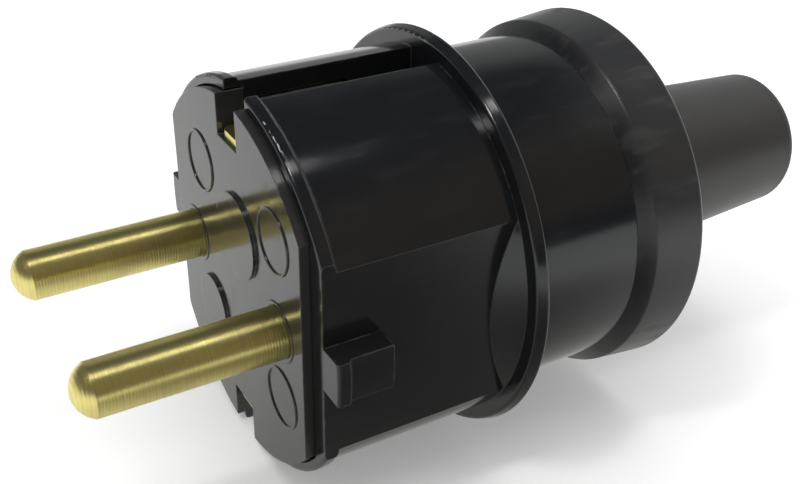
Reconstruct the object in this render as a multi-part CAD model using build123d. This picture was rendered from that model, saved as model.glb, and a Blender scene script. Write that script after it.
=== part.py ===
from build123d import *
import math
import os

# A straight two-pin mains plug with side earth contacts, in millimetres.
# X runs along the plug from the pins (minus X) to the cord boot (plus X), and Z is up.
# The origin is the middle of the carrier's front face, between the pins.

# Pins; their length is counted from the front rim, where a socket's floor meets the plug
pin_radius = 2.4
pin_length = 19.0
pin_spacing = 19.0
nose_radius = 2.6
nose_edge_radius = 2.32
nose_taper_length = 0.12
shank_radius = 2.7
head_radius = 3.4
head_length = 4.0
barrel_radius = 3.0
barrel_length = 8.0
wire_hole_radius = 1.5
wire_hole_depth = 6.6
barrel_edge = 0.4

# Pin carrier; its front plate lies in the mouth of the housing and stands proud of the rim
plate_mouth_radius = 17.8
plate_mouth_depth = 2.6
carrier_radius = 16.5
carrier_flat = 14.05
carrier_depth = 13.0
recess_radius = 2.85
recess_depth = 0.5
shank_start = 0.0
core_half_width = 4.4
core_low = -7.2
core_high = 3.0
core_floor = 6.5

# Raised pads on the carrier's face, placed by Y and Z
pad_height = 0.3
centre_pad_radius = 4.1
centre_pad_y = -1.1
centre_pad_z = 5.2
low_pad_radius = 3.2
low_pad_y = 6.0
low_pad_z = -6.4

# Housing
body_radius = 18.5
side_flat = 16.1
flat_end = 17.4
rim_setback = 0.9
lip_rise = 0.4
lip_width = 1.2
rim_edge = 0.35
rib_half_width = 2.15
rib_length = 5.4
groove_half_width = 2.25
notch_half_width = 2.1
groove_floor = 14.9
flange_front = 19.6
flange_thickness = 1.3
flange_rise = 1.8
flange_taper = 0.4
flange_round = 0.35
neck_radius = 17.1
neck_end = 33.2
neck_root = 0.8
bore_radius = 13.6
spigot_radius = 15.6
spigot_length = 3.6
lug_radius = 2.4
lug_length = 4.0

# Earth bow
bow_thickness = 0.8
bow_face = 14.6
bow_leg_width = 3.6
bow_back_width = 6.0
bow_front = 0.3
bow_bend = 0.6
bend_relief = 0.1

# Earth terminal
earth_z = 8.0
earth_screw_radius = 1.75
earth_screw_length = 5.2
earth_head_radius = 2.9
earth_head_height = 2.0
earth_nut_width = 6.4
earth_nut_thickness = 2.6
saddle_width = 6.6
saddle_thickness = 1.0
saddle_lip = 0.8
earth_relief_depth = 2.2

# Clamp base
plate_thickness = 1.6
plate_radius = 13.2
plate_top = 3.6
arm_inner = 3.9
rest_half_width = 9.6
rest_bottom = -8.0
rest_front = 24.0
rest_length = 7.0
arm_top = -4.0
cord_way_radius = 4.3
base_screw_y = 5.6
base_screw_inset = 6.7
base_screw_radius = 1.3
base_screw_length = 6.5
base_head_radius = 2.1
base_head_height = 1.5

# Cord clamp
clamp_screw_y = 7.6
clamp_screw_radius = 1.25
clamp_screw_length = 6.4
clamp_head_radius = 2.05
clamp_head_height = 1.6
bar_thickness = 2.0
bar_width = 5.4
arch_wall = 1.1
insert_radius = 1.9
insert_depth = 5.0

# Carrier fixings
fixing_y = 8.9
fixing_z = 6.8
fixing_screw_radius = 1.45
fixing_screw_reach = 5.0
fixing_head_radius = 2.3
fixing_head_height = 1.8
fixing_insert_radius = 2.0
fixing_insert_depth = 6.0
washer_radius = 2.35
washer_thickness = 0.5

# Terminal grub screws
grub_radius = 1.4
grub_length = 2.5
grub_proud = 0.5
grub_from_end = 3.0

# Rear cap and boot
cap_length = 7.0
cap_front_radius = 17.0
cap_shoulder_radius = 18.3
cap_shoulder_length = 1.3
cap_radius = 18.8
cap_rear_bevel = 0.6
cap_wall = 1.5
boot_foot_radius = 15.2
boot_foot_thickness = 1.3
boot_base_radius = 8.8
boot_end_radius = 7.4
boot_length = 24.7
boot_end_round = 1.3
boot_root_round = 0.4
cord_bore_radius = 5.2
boot_washer_thickness = 0.6
boot_washer_bore = 7.0

# Clearances and screw slots
carrier_clearance = 0.15
pin_clearance = 0.05
thread_clearance = 0.05
hole_clearance = 0.2
seat_clearance = 0.1
cap_clearance = 0.1
slot_width = 0.8
slot_depth = 0.7
margin = 1.0

# Places worked out from the sizes above
pin_y = pin_spacing / 2
pin_tip = rim_setback - pin_length
flange_radius = body_radius + flange_rise
base_screw_z = base_screw_inset - carrier_radius
carrier_back = carrier_depth
slot_floor = carrier_back - bow_thickness
head_front = carrier_back - head_length
barrel_end = carrier_back + barrel_length
plate_back = carrier_back + plate_thickness
lip_radius = body_radius + lip_rise
lip_back = rim_setback + lip_width
mouth_radius = plate_mouth_radius + carrier_clearance
mouth_back = plate_mouth_depth + seat_clearance
lug_back = carrier_back + lug_length
flange_back = flange_front + flange_thickness
spigot_end = neck_end + spigot_length
washer_back = spigot_end + boot_washer_thickness
foot_back = washer_back + boot_foot_thickness
cap_back = foot_back + cap_wall
boot_back = cap_back + boot_length
bow_floor = bow_face - bow_thickness
rest_back = rest_front + rest_length
bar_middle = rest_front + rest_length / 2
cavity_radius = carrier_radius + carrier_clearance
cavity_flat = carrier_flat + carrier_clearance


def rod(x0, x1, radius, y=0.0, z=0.0):
    """A round bar along X from x0 to x1."""
    turned_bar = Rot(0, 90, 0) * Cylinder(radius, x1 - x0)
    return Pos((x0 + x1) / 2, y, z) * turned_bar


def block(x0, x1, y0, y1, z0, z1):
    """A rectangular block between two corners."""
    middle = Pos((x0 + x1) / 2, (y0 + y1) / 2, (z0 + z1) / 2)
    return middle * Box(x1 - x0, y1 - y0, z1 - z0)


def turned(corners):
    """A body of revolution about X; each corner is x, radius and an optional rounding."""
    outline = Polyline(*[(c[0], c[1]) for c in corners], close=True)
    face = make_face(outline)
    for corner in corners:
        if len(corner) == 3:
            spot = Vector(corner[0], corner[1])
            near = face.vertices().sort_by(lambda v: (Vector(*v) - spot).length)
            face = fillet(near[0], corner[2])
    return revolve(face, Axis.X, 360)


def slotted_screw(shaft_radius, length, head_radius, head_height):
    """A slotted screw along Z, seated at Z = 0 with its shaft below."""
    shaft = Pos(0, 0, -length / 2) * Cylinder(shaft_radius, length)
    head = Pos(0, 0, head_height / 2) * Cylinder(head_radius, head_height)
    head = fillet(head.edges().group_by(Axis.Z)[-1], head_height / 4)
    slot = Pos(0, 0, head_height) * Box(head_radius * 3, slot_width, slot_depth * 2)
    return shaft + head - slot


def facing_back(shape, x, y, z):
    """Turns a screw so that its head faces the cord end, and seats it at x, y, z."""
    return Pos(x, y, z) * Rot(0, 90, 0) * shape


def fixing_places():
    """The two fixings that hold the carrier in the housing."""
    return [(-fixing_y, fixing_z), (fixing_y, fixing_z)]


def make_pin(side):
    """One solid pin: nose, contact length, shank, trapped head and terminal barrel."""
    nose_centre = pin_tip + nose_radius
    edge_x = nose_centre - math.sqrt(nose_radius**2 - nose_edge_radius**2)
    half_way = math.asin(nose_edge_radius / nose_radius) / 2
    arc_point = (nose_centre - nose_radius * math.cos(half_way), nose_radius * math.sin(half_way))
    nose = ThreePointArc((pin_tip, 0), arc_point, (edge_x, nose_edge_radius))
    side_line = Polyline(
        (edge_x, nose_edge_radius),
        (edge_x + nose_taper_length, pin_radius),
        (shank_start, pin_radius),
        (shank_start, shank_radius),
        (head_front, shank_radius),
        (head_front, head_radius),
        (carrier_back, head_radius),
        (carrier_back, barrel_radius),
        (barrel_end - barrel_edge, barrel_radius),
        (barrel_end, barrel_radius - barrel_edge),
        (barrel_end, 0),
        (pin_tip, 0),
    )
    pin = revolve(make_face([nose, side_line]), Axis.X, 360)
    pin -= rod(barrel_end - wire_hole_depth, barrel_end + margin, wire_hole_radius)
    grub_x = barrel_end - grub_from_end
    pin -= Pos(grub_x, 0, barrel_radius) * Cylinder(grub_radius + thread_clearance, barrel_radius * 2)
    return Pos(0, side * pin_y, 0) * pin


def make_terminal_screws():
    """The grub screws that press the wires in the two barrels."""
    screws = []
    top = barrel_radius + grub_proud
    for side in (-1, 1):
        grub = Cylinder(grub_radius, grub_length)
        grub -= Pos(0, 0, grub_length / 2) * Box(grub_radius * 3, slot_width / 2, slot_depth * 2)
        screws.append(Pos(barrel_end - grub_from_end, side * pin_y, top - grub_length / 2) * grub)
    return screws


def make_carrier():
    """The moulded insert that carries the pins and the earth bow."""
    body = rod(0, carrier_back, carrier_radius) + rod(0, plate_mouth_depth, plate_mouth_radius)
    body &= block(-margin, carrier_back + margin, -carrier_flat, carrier_flat, -body_radius, body_radius)
    body += rod(-pad_height, margin, centre_pad_radius, centre_pad_y, centre_pad_z)
    body += rod(-pad_height, margin, low_pad_radius, low_pad_y, low_pad_z)
    for side in (-1, 1):
        y = side * pin_y
        body -= rod(-margin, recess_depth, recess_radius, y)
        body -= rod(-margin, carrier_back, pin_radius + pin_clearance, y)
        body -= rod(shank_start, carrier_back, shank_radius + pin_clearance, y)
        body -= rod(head_front, carrier_back + margin, head_radius + pin_clearance, y)
        outer = side * (plate_mouth_radius + margin)
        low, high = sorted((side * bow_floor, outer))
        body -= block(-margin, carrier_back + margin, -notch_half_width, notch_half_width, low, high)
    slot_half = bow_back_width / 2 + carrier_clearance
    body -= block(slot_floor, carrier_back + margin, -slot_half, slot_half, -carrier_radius, carrier_radius)
    relief = bow_bend + bend_relief
    for side in (-1, 1):
        corner = Polyline(
            (slot_floor - relief, side * bow_floor),
            (slot_floor, side * (bow_floor - relief)),
            (slot_floor + relief, side * bow_floor),
            close=True,
        )
        wedge = extrude(make_face(Plane.XZ * corner), amount=slot_half, both=True)
        body -= wedge
    body -= block(core_floor, carrier_back, -core_half_width, core_half_width, core_low, core_high)
    nut_half = earth_nut_width / 2 + seat_clearance
    nut_front = slot_floor - earth_nut_thickness - seat_clearance
    body -= block(nut_front, carrier_back, -nut_half, nut_half, earth_z - nut_half, earth_z + nut_half)
    relief_radius = earth_screw_radius + hole_clearance
    body -= rod(nut_front - earth_relief_depth, carrier_back, relief_radius, 0, earth_z)
    for y, z in fixing_places():
        insert_hole = fixing_insert_radius + thread_clearance
        body -= rod(carrier_back - fixing_insert_depth, carrier_back + margin, insert_hole, y, z)
    for side in (-1, 1):
        hole = base_screw_radius + thread_clearance
        depth = base_screw_length - plate_thickness + seat_clearance
        body -= rod(carrier_back - depth, carrier_back + margin, hole, side * base_screw_y, base_screw_z)
    return body


def make_housing():
    """The outer moulding: skirt with rim, ribs and grooves, flange, neck and spigot."""
    shell = turned([
        (rim_setback, 0),
        (rim_setback, lip_radius, rim_edge),
        (lip_back, lip_radius, rim_edge),
        (lip_back + lip_rise / 2, body_radius),
        (flange_front, body_radius),
        (flange_front, flange_radius - flange_taper, flange_round),
        (flange_back, flange_radius, flange_round),
        (flange_back, neck_radius, neck_root),
        (neck_end, neck_radius),
        (neck_end, spigot_radius),
        (spigot_end, spigot_radius),
        (spigot_end, 0),
    ])
    shoulder = turned([(flat_end, 0), (flat_end, side_flat), (flange_front, body_radius), (flange_front, 0)])
    for side in (-1, 1):
        low, high = sorted((side * side_flat, side * (body_radius + margin)))
        flat = block(rim_setback - margin, flange_front, low, high, -body_radius, body_radius)
        flat -= block(rim_setback - margin, rim_setback + rib_length, low, high, -rib_half_width, rib_half_width)
        shell -= flat - shoulder
    cavity = rod(rim_setback - margin, carrier_back, cavity_radius)
    cavity &= block(-margin, carrier_back, -cavity_flat, cavity_flat, -body_radius, body_radius)
    cavity_mouth = rod(rim_setback - margin, mouth_back, mouth_radius)
    cavity_mouth &= block(-margin, carrier_back, -cavity_flat, cavity_flat, -body_radius, body_radius)
    shell -= cavity + cavity_mouth
    shell -= rod(carrier_back - margin, spigot_end + margin, bore_radius)
    for side in (-1, 1):
        outer = side * (body_radius + margin)
        low, high = sorted((side * bow_floor, outer))
        shell -= block(-margin, carrier_back, -groove_half_width, groove_half_width, low, high)
        low, high = sorted((side * groove_floor, outer))
        shell -= block(-margin, flange_front, -groove_half_width, groove_half_width, low, high)
    for y, z in fixing_places():
        lug = rod(carrier_back, lug_back, lug_radius, y, z)
        lug += lug_wedge(y, z)
        shell += lug
        shell -= rod(carrier_back - margin, lug_back + margin, fixing_screw_radius + hole_clearance, y, z)
    return shell


def lug_wedge(y, z):
    """The web that joins a fixing lug to the wall of the bore."""
    reach = math.hypot(y, z)
    angle = math.degrees(math.atan2(z, y))
    web = block(carrier_back, lug_back, reach, bore_radius + margin, -lug_radius, lug_radius)
    return Rot(angle, 0, 0) * web


def make_earth_bow():
    """The bent strip with a contact leg in each groove and its terminal at the back."""
    outer = block(bow_front, carrier_back, -bow_leg_width / 2, bow_leg_width / 2, -bow_face, bow_face)
    outer = fillet(outer.edges().filter_by(Axis.Y).group_by(Axis.X)[-1], bow_bend + bow_thickness)
    half = bow_leg_width
    inner = block(bow_front - margin, slot_floor, -half, half, -bow_floor, bow_floor)
    inner = fillet(inner.edges().filter_by(Axis.Y).group_by(Axis.X)[-1], bow_bend)
    strip = outer - inner
    back_reach = bow_floor - bow_bend - bow_thickness
    half_back = bow_back_width / 2
    strip += block(slot_floor, carrier_back, -half_back, half_back, -back_reach, back_reach)
    strip -= rod(slot_floor - margin, carrier_back + margin, earth_screw_radius + hole_clearance, 0, earth_z)
    nose_edges = strip.edges().filter_by(Axis.Z).group_by(Axis.X)[0]
    return fillet(nose_edges, bow_thickness)


def make_earth_nut():
    """The square nut behind the bow."""
    half = earth_nut_width / 2
    nut = block(slot_floor - earth_nut_thickness, slot_floor, -half, half, earth_z - half, earth_z + half)
    return nut - rod(0, carrier_back, earth_screw_radius + thread_clearance, 0, earth_z)


def make_earth_saddle():
    """The wire saddle under the earth screw, with a lip turned up on two sides."""
    half = saddle_width / 2
    seat = carrier_back
    top = seat + saddle_thickness
    saddle = block(seat, top, -half, half, earth_z - half, earth_z + half)
    for side in (-1, 1):
        low, high = sorted((side * half, side * (half - saddle_lip)))
        lip_top = top + saddle_lip
        saddle += block(seat, lip_top, low, high, earth_z - half, earth_z + half)
    hole = earth_screw_radius + hole_clearance
    return saddle - rod(seat - margin, top + margin, hole, 0, earth_z)


def make_earth_screw():
    """The earth terminal's screw."""
    screw = slotted_screw(earth_screw_radius, earth_screw_length, earth_head_radius, earth_head_height)
    narrow = min(earth_head_radius, saddle_width / 2 - saddle_lip - seat_clearance)
    screw &= Cylinder(narrow, (earth_screw_length + earth_head_height) * 2)
    return facing_back(screw, carrier_back + saddle_thickness, 0, earth_z)


def make_clamp_base():
    """The moulding that traps the pin heads and the bow, and carries the cord rest."""
    plate = rod(carrier_back, plate_back, plate_radius)
    plate &= block(carrier_back, plate_back, -plate_radius, plate_radius, -plate_radius, plate_top)
    base = plate
    for side in (-1, 1):
        low, high = sorted((side * arm_inner, side * rest_half_width))
        base += block(carrier_back, rest_front, low, high, rest_bottom, arm_top)
    base += block(rest_front, rest_back, -rest_half_width, rest_half_width, rest_bottom, 0)
    base -= rod(rest_front - margin, rest_back + margin, cord_way_radius)
    for side in (-1, 1):
        base -= rod(carrier_back - margin, plate_back + margin, barrel_radius + pin_clearance, side * pin_y)
        hole = base_screw_radius + hole_clearance
        base -= rod(carrier_back - margin, plate_back, hole, side * base_screw_y, base_screw_z)
        well = base_head_radius + hole_clearance
        base -= rod(plate_back, plate_back + margin * 3, well, side * base_screw_y, base_screw_z)
        seat = insert_radius + thread_clearance
        base -= Pos(bar_middle, side * clamp_screw_y, -insert_depth / 2) * Cylinder(seat, insert_depth)
    return base


def make_base_screws():
    """The two screws that hold the clamp base on the carrier."""
    screw = slotted_screw(base_screw_radius, base_screw_length, base_head_radius, base_head_height)
    return [facing_back(screw, plate_back, side * base_screw_y, base_screw_z) for side in (-1, 1)]


def make_cord_clamp_bar():
    """The arched bar that presses the cord on to its rest."""
    half = rest_half_width
    low, high = bar_middle - bar_width / 2, bar_middle + bar_width / 2
    bar = block(low, high, -half, half, 0, bar_thickness)
    bar += rod(low, high, cord_way_radius + arch_wall) & block(low, high, -half, half, 0, half)
    bar -= rod(low - margin, high + margin, cord_way_radius)
    for side in (-1, 1):
        hole = clamp_screw_radius + hole_clearance
        bar -= Pos(bar_middle, side * clamp_screw_y, 0) * Cylinder(hole, bar_thickness * 3)
    return bar


def make_cord_clamp_screws():
    """The two screws of the cord clamp."""
    screw = slotted_screw(clamp_screw_radius, clamp_screw_length, clamp_head_radius, clamp_head_height)
    return [Pos(bar_middle, side * clamp_screw_y, bar_thickness) * screw for side in (-1, 1)]


def make_cord_clamp_inserts():
    """The threaded inserts pressed into the cord rest."""
    inserts = []
    for side in (-1, 1):
        insert = Cylinder(insert_radius, insert_depth)
        insert -= Cylinder(clamp_screw_radius + thread_clearance, insert_depth)
        inserts.append(Pos(bar_middle, side * clamp_screw_y, -insert_depth / 2) * insert)
    return inserts


def make_carrier_inserts():
    """The threaded inserts in the back of the carrier."""
    inserts = []
    for y, z in fixing_places():
        insert = rod(carrier_back - fixing_insert_depth, carrier_back, fixing_insert_radius, y, z)
        inserts.append(insert - rod(0, carrier_back + margin, fixing_screw_radius + thread_clearance, y, z))
    return inserts


def make_carrier_washers():
    """The washers under the heads of the carrier screws."""
    washers = []
    for y, z in fixing_places():
        washer = rod(lug_back, lug_back + washer_thickness, washer_radius, y, z)
        washers.append(washer - rod(0, lug_back + margin, fixing_screw_radius + hole_clearance, y, z))
    return washers


def make_carrier_screws():
    """The two screws that pull the carrier against the ledge in the housing."""
    length = washer_thickness + lug_length + fixing_screw_reach
    screw = slotted_screw(fixing_screw_radius, length, fixing_head_radius, fixing_head_height)
    return [facing_back(screw, lug_back + washer_thickness, y, z) for y, z in fixing_places()]


def make_rear_cap():
    """The collar screwed on behind the neck, which holds the foot of the boot."""
    cap = turned([
        (neck_end, spigot_radius + cap_clearance),
        (neck_end, cap_front_radius),
        (neck_end + cap_shoulder_length, cap_shoulder_radius, rim_edge),
        (cap_back - cap_rear_bevel, cap_radius, rim_edge),
        (cap_back, cap_radius - cap_rear_bevel),
        (cap_back, boot_base_radius + cap_clearance),
        (foot_back, boot_base_radius + cap_clearance),
        (foot_back, spigot_radius + cap_clearance),
    ])
    return cap


def make_boot_washer():
    """The ring that keeps the foot of the boot off the end of the spigot."""
    ring = rod(spigot_end, washer_back, boot_foot_radius)
    return ring - rod(spigot_end - margin, washer_back + margin, boot_washer_bore)


def make_boot():
    """The tapered cord sleeve with its foot inside the cap."""
    boot = turned([
        (washer_back, cord_bore_radius),
        (washer_back, boot_foot_radius),
        (foot_back, boot_foot_radius),
        (foot_back, boot_base_radius),
        (cap_back, boot_base_radius),
        (boot_back, boot_end_radius, boot_end_round),
        (boot_back, cord_bore_radius, boot_root_round),
    ])
    return boot


def write(node, shape):
    """Writes one sub-part; a list is a group of separate like solids."""
    if isinstance(shape, list):
        shape = Compound(children=list(shape))
    export_step(shape, "parts/" + node + ".step")


def main():
    os.makedirs("parts", exist_ok=True)
    nodes = {
        "housing": make_housing(),
        "pin_carrier": make_carrier(),
        "near_pin": make_pin(-1),
        "far_pin": make_pin(1),
        "terminal_screws": make_terminal_screws(),
        "earth_bow": make_earth_bow(),
        "earth_nut": make_earth_nut(),
        "earth_saddle": make_earth_saddle(),
        "earth_screw": make_earth_screw(),
        "clamp_base": make_clamp_base(),
        "base_screws": make_base_screws(),
        "cord_clamp_bar": make_cord_clamp_bar(),
        "cord_clamp_screws": make_cord_clamp_screws(),
        "cord_clamp_inserts": make_cord_clamp_inserts(),
        "carrier_inserts": make_carrier_inserts(),
        "carrier_screws": make_carrier_screws(),
        "carrier_screw_washers": make_carrier_washers(),
        "rear_cap": make_rear_cap(),
        "boot_washer": make_boot_washer(),
        "boot": make_boot(),
    }
    for node, shape in nodes.items():
        write(node, shape)


main()
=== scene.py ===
import math

import bpy
from bpy.props import FloatProperty, FloatVectorProperty, IntProperty, PointerProperty
from bpy.types import Operator, Panel, PropertyGroup
from mathutils import Matrix, Vector


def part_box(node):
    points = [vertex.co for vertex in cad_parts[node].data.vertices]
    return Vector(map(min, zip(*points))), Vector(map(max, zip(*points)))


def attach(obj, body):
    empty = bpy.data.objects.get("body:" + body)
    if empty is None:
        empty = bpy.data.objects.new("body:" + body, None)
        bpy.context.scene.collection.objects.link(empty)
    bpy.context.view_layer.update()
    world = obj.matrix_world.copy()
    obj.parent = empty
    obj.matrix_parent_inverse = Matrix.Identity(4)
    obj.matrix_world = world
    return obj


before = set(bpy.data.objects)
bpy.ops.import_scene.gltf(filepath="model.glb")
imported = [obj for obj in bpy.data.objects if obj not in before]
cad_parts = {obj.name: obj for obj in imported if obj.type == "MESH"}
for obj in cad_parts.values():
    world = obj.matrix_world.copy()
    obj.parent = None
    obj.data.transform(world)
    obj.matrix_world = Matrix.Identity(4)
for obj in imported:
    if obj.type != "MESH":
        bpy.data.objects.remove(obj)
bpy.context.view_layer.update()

bl_info = {
    "name": "Mains Plug",
    "version": (1, 0, 0),
    "blender": (4, 5, 0),
    "location": "3D View > Sidebar > Plug",
    "description": "Finishes the pieces of a straight two-pin mains plug and sets its stage",
    "category": "Object",
}

# X runs along the plug from the pins (minus X) to the cord boot (plus X), and Z is up.
# The origin is the middle of the carrier's front face. Blender's lengths are in metres.
MM = 0.001
BOOT_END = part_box("boot")[1].x / MM
PINS = ("near_pin", "far_pin")
# Middle of each raised ring on the carrier's face, as Y and Z in millimetres
RING_PLACES = ((7.05, 9.05), (-9.0, 8.75), (-9.5, -7.2))
BEAD_STEPS = 12
FACING_PINS = (0.0, math.pi / 2, 0.0)
# Handling greys the cap between these distances from the axis, in millimetres
GRIP_RADII = (17.5, 18.6)
MOULDING_IOR = 1.58
INNER_IOR = 1.5
BOOT_IOR = 1.5
FIBRE_IOR = 1.45
# Colours of the pieces inside
ZINC_DULL = (0.42, 0.41, 0.39)
BROWN_DARK = (0.085, 0.055, 0.038)
BROWN_PALE = (0.125, 0.083, 0.058)
BROWN_FIBRE = (0.22, 0.16, 0.11)
WASHER_DARK = (0.22, 0.055, 0.035)
WASHER_PALE = (0.38, 0.12, 0.08)


class Value:
    """A shader socket in an expression; each operator adds a Math node."""

    def __init__(self, finish, socket):
        self.finish = finish
        self.socket = socket

    def join(self, operation, first, second):
        return self.finish.add("ShaderNodeMath", {"operation": operation}, {0: first, 1: second}, "Value")

    def __add__(self, other):
        return self.join("ADD", self, other)

    def __radd__(self, other):
        return self.join("ADD", other, self)

    def __mul__(self, other):
        return self.join("MULTIPLY", self, other)

    def __rmul__(self, other):
        return self.join("MULTIPLY", other, self)


class NodeTree:
    """Adds nodes to one tree."""

    def __init__(self, tree):
        self.tree = tree
        tree.nodes.clear()

    def add(self, kind, settings, sockets, out):
        """One node: its settings first, then the values or links of its sockets."""
        node = self.tree.nodes.new(kind)
        for name, setting in settings.items():
            setattr(node, name, setting)
        for name, value in sockets.items():
            socket = self.find(node.inputs, name)
            if isinstance(value, Value):
                self.tree.links.new(value.socket, socket)
            else:
                socket.default_value = value
        return Value(self, self.find(node.outputs, out))

    def find(self, sockets, name):
        """A socket by place, or by name among those in use."""
        if isinstance(name, int):
            return sockets[name]
        return next(s for s in sockets if s.name == name and s.enabled)

    def blend(self, factor, low, high):
        """A colour between two colours."""
        ends = {"Factor": factor, "A": self.colour(low), "B": self.colour(high)}
        return self.add("ShaderNodeMix", {"data_type": "RGBA"}, ends, "Result")

    def colour(self, value):
        return value if isinstance(value, Value) else (*value, 1.0)

    def ramp(self, value, start, end):
        """0 at start and 1 at end, smooth between; start may be the larger."""
        limits = {"Value": value, "From Min": start, "From Max": end}
        return self.add("ShaderNodeMapRange", {"interpolation_type": "SMOOTHSTEP"}, limits, "Result")

    def part(self, vector, axis):
        """One part of a vector."""
        return self.add("ShaderNodeSeparateXYZ", {}, {0: vector}, axis)

    def length(self, vector):
        """How long a vector is."""
        return self.add("ShaderNodeVectorMath", {"operation": "LENGTH"}, {0: vector}, "Value")

    def noise(self, place, size, detail=2.0):
        """Noise from 0 to 1 whose lumps are size wide, in the units of place."""
        lumps = {"Vector": place, "Scale": 1 / size, "Detail": detail}
        return self.add("ShaderNodeTexNoise", {"normalize": True}, lumps, 0)

    def stretch(self, place, x=1.0, y=1.0, z=1.0):
        """The same place with each axis scaled."""
        return self.add("ShaderNodeVectorMath", {"operation": "MULTIPLY"}, {0: place, 1: (x, y, z)}, "Vector")


class Finish(NodeTree):
    """A material built round one Principled shader; constants go on its own sockets."""

    def __init__(self, name, **constants):
        self.material = bpy.data.materials.new(name)
        self.material.use_nodes = True
        super().__init__(self.material.node_tree)
        self.shader = self.tree.nodes.new("ShaderNodeBsdfPrincipled")
        self.output = self.tree.nodes.new("ShaderNodeOutputMaterial")
        self.tree.links.new(self.shader.outputs["BSDF"], self.output.inputs["Surface"])
        for socket, value in constants.items():
            self.shader.inputs[socket.replace("_", " ")].default_value = value

    def place(self):
        """The point in the part's frame, in millimetres."""
        point = self.add("ShaderNodeTexCoord", {}, {}, "Object")
        scale = {"operation": "SCALE"}
        return self.add("ShaderNodeVectorMath", scale, {"Vector": point, "Scale": 1 / MM}, "Vector")

    def rounded(self, radius):
        """The normal as if each edge had this radius, in millimetres."""
        return self.add("ShaderNodeBevel", {"samples": 6}, {"Radius": radius * MM}, "Normal")

    def edges(self, radius):
        """1 on an edge, falling to 0 within the radius, in millimetres."""
        flat = self.add("ShaderNodeNewGeometry", {}, {}, "Normal")
        dot = {"operation": "DOT_PRODUCT"}
        same = self.add("ShaderNodeVectorMath", dot, {0: self.rounded(radius), 1: flat}, "Value")
        return self.ramp(same, 0.985, 0.8)

    def bump(self, height, depth, normal):
        """A normal from a height of 0 to 1 that is depth millimetres deep."""
        sockets = {"Strength": 1.0, "Distance": depth * MM, "Height": height, "Normal": normal}
        return self.add("ShaderNodeBump", {}, sockets, "Normal")

    def feed(self, **inputs):
        """Links what varies over the surface to the shader."""
        for socket, value in inputs.items():
            self.tree.links.new(value.socket, self.shader.inputs[socket.replace("_", " ")])
        return self.material


class MouldingSettings(PropertyGroup):
    """The polished black moulding of the housing, the carrier and the cap."""

    colour: FloatVectorProperty(
        name="Colour", description="Black of the moulding", subtype="COLOR", size=3,
        min=0.0, max=1.0, default=(0.0070, 0.0074, 0.0086))
    # Grey of the paler edges: partly handling wear, partly a painted highlight standing in for glints along
    # the edges
    edge_wear_and_glint_colour: FloatVectorProperty(
        name="Worn Colour", description="Grey that shows along handled edges", subtype="COLOR", size=3,
        min=0.0, max=1.0, default=(0.070, 0.070, 0.066))
    gloss: FloatProperty(
        name="Gloss Roughness", description="Roughness of the housing's polish",
        min=0.0, max=1.0, default=0.13)
    face_colour: FloatVectorProperty(
        name="Face Colour", description="Dustier black of the carrier's face", subtype="COLOR", size=3,
        min=0.0, max=1.0, default=(0.022, 0.022, 0.021))
    grip_colour: FloatVectorProperty(
        name="Grip Colour", description="Greyer black of the cap's handled rim", subtype="COLOR", size=3,
        min=0.0, max=1.0, default=(0.023, 0.023, 0.024))
    cap_gloss: FloatProperty(
        name="Cap Roughness", description="Roughness of the handled rear cap",
        min=0.0, max=1.0, default=0.30)
    ripple_size: FloatProperty(
        name="Ripple Size", description="Width of the moulding's slow ripples, in millimetres",
        min=0.1, default=4.5)
    ripple_depth: FloatProperty(
        name="Ripple Depth", description="Depth of the ripples, in millimetres",
        min=0.0, default=0.012)
    edge_radius: FloatProperty(
        name="Edge Radius", description="Radius that sharp edges show, in millimetres",
        min=0.0, default=0.16)


class BrassSettings(PropertyGroup):
    """The turned brass pins and the rolled earth strip."""

    colour: FloatVectorProperty(
        name="Colour", description="Clean brass", subtype="COLOR", size=3,
        min=0.0, max=1.0, default=(0.94, 0.82, 0.30))
    tarnish: FloatVectorProperty(
        name="Tarnish", description="Dulled brass between the turning marks", subtype="COLOR", size=3,
        min=0.0, max=1.0, default=(0.71, 0.59, 0.245))
    gloss: FloatProperty(
        name="Roughness", description="Roughness of the turned surface", min=0.0, max=1.0, default=0.29)
    mark_pitch: FloatProperty(
        name="Mark Pitch", description="Distance between the main turning marks, in millimetres",
        min=0.01, default=0.27)
    mark_depth: FloatProperty(
        name="Mark Depth", description="Depth of the turning marks, in millimetres",
        min=0.0, default=0.017)


class BootSettings(PropertyGroup):
    """The satin boot round the cord."""

    colour: FloatVectorProperty(
        name="Colour", description="Dark warm grey of the boot", subtype="COLOR", size=3,
        min=0.0, max=1.0, default=(0.030, 0.028, 0.026))
    gloss: FloatProperty(
        name="Roughness", description="Roughness of the satin skin", min=0.0, max=1.0, default=0.40)
    grain_size: FloatProperty(
        name="Grain Size", description="Width of the skin's grain, in millimetres", min=0.01, default=0.22)
    grain_depth: FloatProperty(
        name="Grain Depth", description="Depth of the grain, in millimetres", min=0.0, default=0.010)


class RingSettings(PropertyGroup):
    """The plain raised rings on the carrier's face, and the collars round the pins."""

    radius: FloatProperty(
        name="Ring Radius", description="Radius to the middle of a ring's bead",
        unit="LENGTH", min=0.0, default=2.9 * MM)
    bead: FloatProperty(
        name="Bead Radius", description="Radius of the round bead, half of it sunk in the face",
        unit="LENGTH", min=0.0, default=0.15 * MM)
    collar_radius: FloatProperty(
        name="Collar Radius", description="Radius to the middle of the collar round a pin",
        unit="LENGTH", min=0.0, default=2.62 * MM)
    collar_bead: FloatProperty(
        name="Collar Bead", description="Radius of the collar's bead before it is flattened",
        unit="LENGTH", min=0.0, default=0.22 * MM)
    collar_flatness: FloatProperty(
        name="Collar Flatness", description="Height of the collar as a share of its width",
        min=0.01, max=1.0, default=0.45)
    steps: IntProperty(
        name="Steps", description="Segments round a ring", min=12, default=96)


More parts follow.
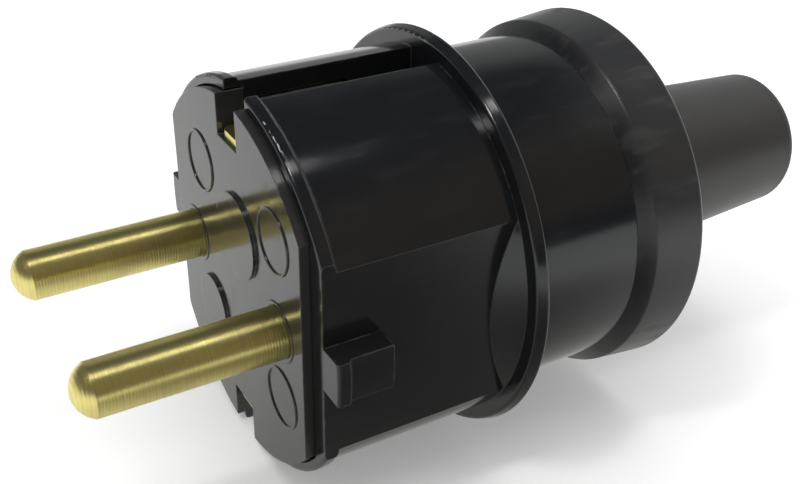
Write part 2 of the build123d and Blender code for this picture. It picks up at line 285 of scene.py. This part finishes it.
class StageSettings(PropertyGroup):
    """The floor, lamps, surroundings and camera."""

    floor_colour: FloatVectorProperty(
        name="Floor Colour", description="Pale floor", subtype="COLOR", size=3,
        min=0.0, max=1.0, default=(0.93, 0.93, 0.93))
    floor_lift: FloatProperty(
        name="Floor Lift", description="Light that the camera alone sees on the floor", min=0.0, default=0.22)
    ambient: FloatProperty(
        name="Ambient", description="Level of the even light from all round", min=0.0, default=0.52)
    soft_power: FloatProperty(
        name="Soft Lamp", description="Power of the broad lamp overhead", unit="POWER", min=0.0, default=4.6)
    spot_power: FloatProperty(
        name="Ceiling Lamps", description="Power of the small lamps whose light runs along the pins",
        unit="POWER", min=0.0, default=0.15)
    lens: FloatProperty(
        name="Lens", description="Focal length of the camera, in millimetres", min=1.0, default=49.292)


def settings():
    return bpy.context.scene.plug


def dress(node, material):
    """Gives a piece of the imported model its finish."""
    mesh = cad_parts[node].data
    mesh.materials.clear()
    mesh.materials.append(material)


def polished_moulding(name, black, gloss, scuffing, grip=None):
    """Black moulding: slow ripples in the gloss, haze, scuffs, and paler edges that are partly handling wear
    and partly a painted highlight for the glints along them.

    Scuffing is from 0 to 1, and a grip colour greys the outermost surface.
    """
    moulding = settings().moulding
    finish = Finish(name, IOR=MOULDING_IOR)
    place = finish.place()
    haze = finish.noise(place, size=6.0, detail=4.0)
    rubbed = finish.noise(finish.stretch(place, x=0.35), size=0.9, detail=3.0)
    ripple = finish.noise(place, size=moulding.ripple_size, detail=1.0)
    grain = finish.noise(place, size=0.18, detail=2.0)
    # Paler edges: partly handling wear, partly a painted highlight for the glints along the edges
    wear_and_edge_glint = finish.edges(0.30) * finish.ramp(rubbed, 0.42, 0.62)
    streaks = finish.noise(finish.stretch(place, x=0.3), size=1.6, detail=5.0)
    scuffs = finish.ramp(streaks, 0.50, 0.70) * scuffing
    base = tuple(black)
    if grip is not None:
        outward = finish.length(finish.stretch(place, x=0.0))
        base = finish.blend(finish.ramp(outward, *GRIP_RADII), base, tuple(grip))
    normal = finish.bump(ripple, moulding.ripple_depth, finish.rounded(moulding.edge_radius))
    normal = finish.bump(grain, 0.0006, normal)
    # The edges' painted highlight and wear, the haze and the scuffs pale the black together
    paleness_and_glint = wear_and_edge_glint * 0.7 + haze * 0.05 + scuffs * 0.14
    dullness = wear_and_edge_glint * 0.10 + scuffs * 0.16 + finish.ramp(rubbed, 0.55, 0.75) * 0.05
    return finish.feed(
        Base_Color=finish.blend(paleness_and_glint, base, tuple(moulding.edge_wear_and_glint_colour)),
        Roughness=gloss * (0.75 + 0.5 * haze) + dullness,
        Normal=normal,
    )


def turned_brass(name):
    """Brass bar from the lathe: marks run round it, brighter on their crests."""
    brass = settings().brass
    finish = Finish(name, Metallic=1.0)
    place = finish.place()
    along = finish.part(place, "X")
    waver = finish.noise(place, size=5.0, detail=1.0) * 0.06
    turns = (along + waver) * (2 * math.pi / brass.mark_pitch)
    wave = finish.add("ShaderNodeMath", {"operation": "SINE"}, {0: turns}, "Value") * 0.5 + 0.5
    lines = finish.noise(finish.stretch(place, x=1.0, y=0.02, z=0.02), size=0.16, detail=3.0)
    fine = finish.noise(finish.stretch(place, x=1.0, y=0.03, z=0.03), size=0.05, detail=2.0)
    height = wave * 0.35 + lines + fine * 0.25
    patches = finish.noise(finish.stretch(place, x=0.5), size=2.6, detail=4.0)
    dull = finish.ramp(patches, 0.42, 0.72) * 0.55 + finish.ramp(lines, 0.62, 0.40) * 0.25 + wave * 0.20
    return finish.feed(
        Base_Color=finish.blend(dull, tuple(brass.colour), tuple(brass.tarnish)),
        Roughness=brass.gloss + dull * 0.10,
        Normal=finish.bump(height, brass.mark_depth, finish.rounded(0.08)),
    )


def rolled_brass(name):
    """Brass strip: fine lines along its length and small dull spots."""
    brass = settings().brass
    finish = Finish(name, Metallic=1.0)
    place = finish.place()
    lines = finish.noise(finish.stretch(place, x=0.04), size=0.12, detail=2.0)
    spots = finish.noise(place, size=0.8, detail=4.0)
    dull = finish.ramp(spots, 0.5, 0.72)
    return finish.feed(
        Base_Color=finish.blend(dull * 0.8, tuple(brass.colour), tuple(brass.tarnish)),
        Roughness=0.30 + dull * 0.18,
        Normal=finish.bump(lines, 0.004, finish.rounded(0.10)),
    )


def plated_steel(name, warmth):
    """Zinc-plated steel: pale, slightly cloudy, with fine marks from the tool."""
    finish = Finish(name, Metallic=1.0)
    place = finish.place()
    clouds = finish.noise(place, size=1.2, detail=4.0)
    marks = finish.noise(finish.stretch(place, x=0.2), size=0.10, detail=2.0)
    bright = (0.68, 0.68 - warmth / 2, 0.66 - warmth)
    return finish.feed(
        Base_Color=finish.blend(finish.ramp(clouds, 0.45, 0.75), bright, ZINC_DULL),
        Roughness=0.28 + clouds * 0.16,
        Normal=finish.bump(marks, 0.003, finish.rounded(0.06)),
    )


def inner_moulding(name):
    """Dull brown moulding with short pale fibres in it."""
    finish = Finish(name, IOR=INNER_IOR)
    place = finish.place()
    clouds = finish.noise(place, size=2.0, detail=4.0)
    fibres = finish.ramp(finish.noise(finish.stretch(place, z=0.25), size=0.22, detail=3.0), 0.60, 0.72)
    brown = finish.blend(clouds, BROWN_DARK, BROWN_PALE)
    return finish.feed(
        Base_Color=finish.blend(fibres * 0.5, brown, BROWN_FIBRE),
        Roughness=0.42 + clouds * 0.2,
        Normal=finish.bump(clouds * 0.6 + fibres * 0.4, 0.008, finish.rounded(0.12)),
    )


def pressed_fibre(name):
    """Red vulcanised fibre with a matted surface."""
    finish = Finish(name, IOR=FIBRE_IOR)
    place = finish.place()
    mat = finish.noise(finish.stretch(place, y=0.4), size=0.3, detail=5.0)
    return finish.feed(
        Base_Color=finish.blend(mat, WASHER_DARK, WASHER_PALE),
        Roughness=0.55 + mat * 0.25,
        Normal=finish.bump(mat, 0.02, finish.rounded(0.08)),
    )


def satin_boot(name):
    """Satin elastomer: fine grain, slow shade changes and a rubbed end."""
    boot = settings().boot
    finish = Finish(name, IOR=BOOT_IOR)
    place = finish.place()
    along = finish.part(place, "X")
    shade = finish.noise(finish.stretch(place, x=0.5), size=5.0, detail=3.0)
    grain = finish.noise(place, size=boot.grain_size, detail=3.0)
    wisps = finish.noise(finish.stretch(place, x=0.15), size=0.7, detail=3.0)
    rubbed = finish.edges(0.5) * 0.5 + finish.ramp(wisps, 0.60, 0.80) * 0.20
    dark = tuple(boot.colour)
    pale = tuple(c * 1.9 for c in dark)
    return finish.feed(
        Base_Color=finish.blend(rubbed + shade * 0.25, dark, pale),
        Roughness=boot.gloss - 0.06 + shade * 0.12 + finish.ramp(along, BOOT_END - 3.0, BOOT_END) * 0.08,
        Normal=finish.bump(grain, boot.grain_depth, finish.rounded(0.25)),
    )


def ring_tree():
    """Instances a round bead, bent to a ring that faces the pins, on each point."""
    tree = bpy.data.node_groups.new("raised_rings", "GeometryNodeTree")
    ports = tree.interface
    ports.new_socket("Places", in_out="INPUT", socket_type="NodeSocketGeometry")
    inputs = {}
    for name, kind in (("Ring Radius", "NodeSocketFloat"), ("Bead Radius", "NodeSocketFloat"),
                       ("Flatness", "NodeSocketFloat"), ("Steps", "NodeSocketInt"),
                       ("Finish", "NodeSocketMaterial")):
        inputs[name] = ports.new_socket(name, in_out="INPUT", socket_type=kind).identifier
    ports.new_socket("Rings", in_out="OUTPUT", socket_type="NodeSocketGeometry")
    maker = NodeTree(tree)
    given = {name: maker.add("NodeGroupInput", {}, {}, name) for name in ("Places", *inputs)}
    path = maker.add("GeometryNodeCurvePrimitiveCircle", {"mode": "RADIUS"},
                     {"Resolution": given["Steps"], "Radius": given["Ring Radius"]}, "Curve")
    bead = maker.add("GeometryNodeCurvePrimitiveCircle", {"mode": "RADIUS"},
                     {"Resolution": BEAD_STEPS, "Radius": given["Bead Radius"]}, "Curve")
    ring = maker.add("GeometryNodeCurveToMesh", {}, {"Curve": path, "Profile Curve": bead}, "Mesh")
    squat = maker.add("ShaderNodeCombineXYZ", {}, {"X": 1.0, "Y": 1.0, "Z": given["Flatness"]}, 0)
    placed = {"Points": given["Places"], "Instance": ring, "Rotation": FACING_PINS, "Scale": squat}
    rings = maker.add("GeometryNodeInstanceOnPoints", {}, placed, "Instances")
    solid = maker.add("GeometryNodeRealizeInstances", {}, {"Geometry": rings}, "Geometry")
    painted = maker.add("GeometryNodeSetMaterial", {},
                        {"Geometry": solid, "Material": given["Finish"]}, "Geometry")
    output = tree.nodes.new("NodeGroupOutput")
    tree.links.new(painted.socket, output.inputs["Rings"])
    return tree, inputs


def grown(name, points, tree, values):
    """Runs a node tree on a few points and keeps the result as a plain mesh."""
    seed_mesh = bpy.data.meshes.new(name + "_points")
    seed_mesh.from_pydata([tuple(p) for p in points], [], [])
    seed = bpy.data.objects.new(name + "_points", seed_mesh)
    bpy.context.scene.collection.objects.link(seed)
    modifier = seed.modifiers.new("nodes", "NODES")
    modifier.node_group = tree
    for identifier, value in values.items():
        modifier[identifier] = value
    graph = bpy.context.evaluated_depsgraph_get()
    mesh = bpy.data.meshes.new_from_object(seed.evaluated_get(graph))
    bpy.data.objects.remove(seed)
    piece = bpy.data.objects.new(name, mesh)
    bpy.context.scene.collection.objects.link(piece)
    return piece


def smooth(piece):
    for polygon in piece.data.polygons:
        polygon.use_smooth = True
    return piece


class PLUG_OT_housing(Operator):
    """Finish the housing as polished black moulding"""

    bl_idname = "plug.housing"
    bl_label = "Housing"

    def execute(self, context):
        moulding = settings().moulding
        dress("housing", polished_moulding(
            "polished_housing", moulding.colour, moulding.gloss, scuffing=0.25))
        return {"FINISHED"}


class PLUG_OT_carrier(Operator):
    """Finish the pin carrier and raise the plain rings on its face"""

    bl_idname = "plug.carrier"
    bl_label = "Pin Carrier"

    def execute(self, context):
        rings = settings().rings
        moulding = settings().moulding
        material = polished_moulding(
            "polished_carrier", moulding.face_colour, moulding.gloss, scuffing=0.6)
        dress("pin_carrier", material)
        tree, inputs = ring_tree()
        pins = [(low + high) / 2 for low, high in (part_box(pin) for pin in PINS)]
        groups = {
            "face_rings": ([(y * MM, z * MM) for y, z in RING_PLACES], rings.radius, rings.bead, 1.0),
            "pin_collars": ([(pin.y, pin.z) for pin in pins],
                            rings.collar_radius, rings.collar_bead, rings.collar_flatness),
        }
        for name, (places, radius, bead, flatness) in groups.items():
            values = {
                inputs["Ring Radius"]: radius,
                inputs["Bead Radius"]: bead,
                inputs["Flatness"]: flatness,
                inputs["Steps"]: rings.steps,
                inputs["Finish"]: material,
            }
            piece = smooth(grown(name, [(0.0, y, z) for y, z in places], tree, values))
            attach(piece, "root")
        return {"FINISHED"}


class PLUG_OT_pins(Operator):
    """Finish the two contact pins as turned brass"""

    bl_idname = "plug.pins"
    bl_label = "Pins"

    def execute(self, context):
        material = turned_brass("turned_brass")
        for node in PINS:
            dress(node, material)
        return {"FINISHED"}


class PLUG_OT_earth_contact(Operator):
    """Finish the earth strip, its nut, saddle and screw"""

    bl_idname = "plug.earth_contact"
    bl_label = "Earth Contact"

    def execute(self, context):
        dress("earth_bow", rolled_brass("rolled_brass"))
        dress("earth_nut", rolled_brass("sawn_brass"))
        dress("earth_saddle", plated_steel("pressed_steel", 0.02))
        dress("earth_screw", plated_steel("earth_screw_steel", 0.04))
        return {"FINISHED"}


class PLUG_OT_rear_cap(Operator):
    """Finish the screwed rear cap, whose polish is dulled by handling"""

    bl_idname = "plug.rear_cap"
    bl_label = "Rear Cap"

    def execute(self, context):
        moulding = settings().moulding
        dress("rear_cap", polished_moulding(
            "handled_cap", moulding.colour, moulding.cap_gloss, scuffing=1.0, grip=moulding.grip_colour))
        return {"FINISHED"}


class PLUG_OT_boot(Operator):
    """Finish the cord boot and the fibre ring under its foot"""

    bl_idname = "plug.boot"
    bl_label = "Cord Boot"

    def execute(self, context):
        dress("boot", satin_boot("satin_boot"))
        dress("boot_washer", pressed_fibre("pressed_fibre"))
        return {"FINISHED"}


class PLUG_OT_cord_clamp(Operator):
    """Finish the clamp base, the arched bar, their screws and inserts"""

    bl_idname = "plug.cord_clamp"
    bl_label = "Cord Clamp"

    def execute(self, context):
        moulding = inner_moulding("inner_moulding")
        steel = plated_steel("clamp_screw_steel", 0.03)
        for node in ("clamp_base", "cord_clamp_bar"):
            dress(node, moulding)
        for node in ("base_screws", "cord_clamp_screws"):
            dress(node, steel)
        dress("cord_clamp_inserts", rolled_brass("insert_brass"))
        return {"FINISHED"}


class PLUG_OT_fixings(Operator):
    """Finish the carrier's screws, washers and inserts, and the wire terminals' screws"""

    bl_idname = "plug.fixings"
    bl_label = "Fixings"

    def execute(self, context):
        steel = plated_steel("fixing_steel", 0.03)
        for node in ("carrier_screws", "carrier_screw_washers", "terminal_screws"):
            dress(node, steel)
        dress("carrier_inserts", rolled_brass("carrier_insert_brass"))
        return {"FINISHED"}


# Stage places in millimetres, in the part's frame
FLOOR_REACH = 1500.0
# Where the housing's lip and its flange touch the floor
FLOOR_X = (1.55, 20.6)
FLOOR_Z = (-18.80, -20.30)
# The camera sees the floor fade to white between these distances from the plug's face
FADE_REACH = (70.0, 420.0)
# The painted shade on the floor in front, seen only in gloss, which the flats mirror; X is squeezed before it
# is measured
SHADE_SQUEEZE = 1.5
SHADE_MIDDLE = (24.0, -52.0, 0.0)
SHADE_REACH = (12.0, 104.0)
PAINTED_SHADE_COLOUR = (0.13, 0.125, 0.11)
BRIGHT_COLOUR = (1.0, 1.02, 1.0)
# Tones of the room that gloss mirrors, and of what lies below the horizon
ROOM_TONE = (0.055, 0.06, 0.075)
FRONT_BAND_TONE = (0.175, 0.15, 0.115)
BACK_WALL_TONE = (0.34, 0.35, 0.34)
LEFT_WALL_TONE = (0.12, 0.12, 0.12)
RIGHT_WALL_TONE = (0.73, 0.75, 0.76)
BELOW_TONE = (0.88, 0.90, 0.90)
WHITE = (1.0, 1.0, 1.0)
# Name, place along X and share of the power; the face mirrors the pins as the second lamp lights them
CEILING_LAMPS = (("pin_lamp", 102.0, 1.0), ("front_lamp", -230.0, 3.5))
CEILING_LAMP_REST = (-52.0, 460.0)
CEILING_LAMP_SIZE = (150.0, 50.0)
SOFT_LAMP_PLACE = (0.0, 0.0, 1000.0)
SOFT_LAMP_SIZE = (1000.0, 1000.0)
CAMERA_PLACE = (-30.285, -80.336, 55.58)
CAMERA_AXIS = (0.437267, 0.734842, -0.518464)
CAMERA_RIGHT = (0.865049, -0.501327, 0.019019)


def floor_slope():
    """The floor touches the lip and the flange, so the plug lies with its pins up a little."""
    return (FLOOR_Z[1] - FLOOR_Z[0]) / (FLOOR_X[1] - FLOOR_X[0])


def floor_finish():
    """Plain pale floor that fades to white; in gloss it glows, with a painted shade in front where it is
    dimmer.
    """
    stage = settings().stage
    finish = Finish("pale_floor", Roughness=0.9, Emission_Color=(*WHITE, 1.0))
    place = finish.place()
    seen = finish.add("ShaderNodeLightPath", {}, {}, "Is Camera Ray")
    mirrored = finish.add("ShaderNodeLightPath", {}, {}, "Is Glossy Ray")
    grain = finish.noise(place, size=3.0, detail=3.0)
    pale = tuple(stage.floor_colour)
    fading = finish.ramp(finish.length(place), *FADE_REACH)
    finish.feed(
        Base_Color=finish.blend(grain, pale, tuple(c * 0.985 for c in pale)),
        Emission_Strength=seen * (fading * 0.6 + stage.floor_lift),
    )
    # In gloss the floor is an even glow with a painted shade in front of the plug, which the flats mirror
    distance = {"operation": "DISTANCE"}
    ends = {0: finish.stretch(place, x=SHADE_SQUEEZE, z=0.0), 1: SHADE_MIDDLE}
    away = finish.add("ShaderNodeVectorMath", distance, ends, "Value")
    tone = finish.blend(finish.ramp(away, *SHADE_REACH), PAINTED_SHADE_COLOUR, BRIGHT_COLOUR)
    gloss_glow_with_painted_shade = finish.add("ShaderNodeEmission", {}, {"Color": tone, "Strength": 1.0}, "Emission")
    plain = Value(finish, finish.shader.outputs["BSDF"])
    surface = finish.add("ShaderNodeMixShader", {}, {0: mirrored, 1: plain, 2: gloss_glow_with_painted_shade}, 0)
    finish.tree.links.new(surface.socket, finish.output.inputs["Surface"])
    return finish.material


def lay_floor():
    mesh = bpy.data.meshes.new("floor")
    corners = []
    for x, y in ((-1, -1), (1, -1), (1, 1), (-1, 1)):
        height = FLOOR_Z[0] + (x * FLOOR_REACH - FLOOR_X[0]) * floor_slope()
        corners.append((x * FLOOR_REACH * MM, y * FLOOR_REACH * MM, height * MM))
    mesh.from_pydata(corners, [], [(0, 1, 2, 3)])
    mesh.materials.append(floor_finish())
    floor = bpy.data.objects.new("floor", mesh)
    bpy.context.scene.collection.objects.link(floor)


def surround():
    """The world: white to the camera, a dim room in gloss, and even light for the rest."""
    stage = settings().stage
    world = bpy.data.worlds.new("studio")
    bpy.context.scene.world = world
    world.use_nodes = True
    room = NodeTree(world.node_tree)
    seen = room.add("ShaderNodeLightPath", {}, {}, "Is Camera Ray")
    mirrored = room.add("ShaderNodeLightPath", {}, {}, "Is Glossy Ray")
    way = room.add("ShaderNodeTexCoord", {}, {}, "Generated")
    up = room.part(way, "Z")
    back = room.part(way, "Y")
    side = room.part(way, "X")
    front_band = room.ramp(back, 0.15, -0.30) * room.ramp(up, 0.10, 0.30) * room.ramp(up, 0.92, 0.70)
    back_wall = room.ramp(back, 0.10, 0.55) * room.ramp(up, 0.72, 0.45)
    left_wall = room.ramp(side, -0.10, -0.45) * room.ramp(up, 0.80, 0.45)
    right_wall = room.ramp(side, 0.585, 0.66) * room.ramp(back, -0.55, -0.20)
    below = room.ramp(up, 0.0, -0.05)
    tone = room.blend(front_band, ROOM_TONE, FRONT_BAND_TONE)
    tone = room.blend(back_wall, tone, BACK_WALL_TONE)
    tone = room.blend(left_wall, tone, LEFT_WALL_TONE)
    tone = room.blend(right_wall, tone, RIGHT_WALL_TONE)
    tone = room.blend(below, tone, BELOW_TONE)
    tone = room.blend(mirrored, (stage.ambient,) * 3, tone)
    tone = room.blend(seen, tone, WHITE)
    light = room.add("ShaderNodeBackground", {}, {"Color": tone, "Strength": 1.0}, "Background")
    output = room.tree.nodes.new("ShaderNodeOutputWorld")
    room.tree.links.new(light.socket, output.inputs["Surface"])


def hang_lamp(name, place, length, width, power, in_gloss):
    """A lamp that looks down, long in X; place and sizes in millimetres."""
    data = bpy.data.lights.new(name, "AREA")
    data.shape = "RECTANGLE"
    data.size = length * MM
    data.size_y = width * MM
    data.energy = power
    lamp = bpy.data.objects.new(name, data)
    lamp.location = Vector(place) * MM
    lamp.visible_glossy = in_gloss
    bpy.context.scene.collection.objects.link(lamp)


def set_camera():
    axis = Vector(CAMERA_AXIS).normalized()
    right = Vector(CAMERA_RIGHT)
    right = (right - axis * right.dot(axis)).normalized()
    up = right.cross(axis)
    data = bpy.data.cameras.new("camera")
    data.sensor_width = 36.0
    data.lens = settings().stage.lens
    data.clip_start = 1.0 * MM
    camera = bpy.data.objects.new("camera", data)
    matrix = Matrix((right, up, -axis)).transposed().to_4x4()
    matrix.translation = Vector(CAMERA_PLACE) * MM
    camera.matrix_world = matrix
    bpy.context.scene.collection.objects.link(camera)
    bpy.context.scene.camera = camera
    bpy.context.scene.view_settings.view_transform = "Standard"


class PLUG_OT_stage(Operator):
    """Lay the floor, light the plug and set the camera"""

    bl_idname = "plug.stage"
    bl_label = "Stage"

    def execute(self, context):
        stage = settings().stage
        lay_floor()
        surround()
        hang_lamp("soft_lamp", SOFT_LAMP_PLACE, *SOFT_LAMP_SIZE, stage.soft_power, False)
        for name, along, share in CEILING_LAMPS:
            hang_lamp(name, (along, *CEILING_LAMP_REST), *CEILING_LAMP_SIZE, stage.spot_power * share, True)
        set_camera()
        return {"FINISHED"}


class PlugSettings(PropertyGroup):
    """All the settings of the plug."""

    moulding: PointerProperty(type=MouldingSettings)
    brass: PointerProperty(type=BrassSettings)
    boot: PointerProperty(type=BootSettings)
    rings: PointerProperty(type=RingSettings)
    stage: PointerProperty(type=StageSettings)


OPERATORS = (
    PLUG_OT_housing, PLUG_OT_carrier, PLUG_OT_pins, PLUG_OT_earth_contact, PLUG_OT_rear_cap,
    PLUG_OT_boot, PLUG_OT_cord_clamp, PLUG_OT_fixings, PLUG_OT_stage,
)


class PLUG_PT_panel(Panel):
    """The steps that finish the plug, in order"""

    bl_idname = "PLUG_PT_panel"
    bl_label = "Mains Plug"
    bl_space_type = "VIEW_3D"
    bl_region_type = "UI"
    bl_category = "Plug"

    def draw(self, context):
        for operator in OPERATORS:
            self.layout.operator(operator.bl_idname)


CLASSES = (
    MouldingSettings, BrassSettings, BootSettings, RingSettings, StageSettings, PlugSettings,
    *OPERATORS, PLUG_PT_panel,
)


def register():
    for cls in CLASSES:
        bpy.utils.register_class(cls)
    bpy.types.Scene.plug = PointerProperty(type=PlugSettings)


def unregister():
    del bpy.types.Scene.plug
    for cls in reversed(CLASSES):
        bpy.utils.unregister_class(cls)


def main():
    register()
    for operator in OPERATORS:
        group, name = operator.bl_idname.split(".")
        getattr(getattr(bpy.ops, group), name)()
    bpy.context.view_layer.update()


if __name__ == "__main__":
    main()
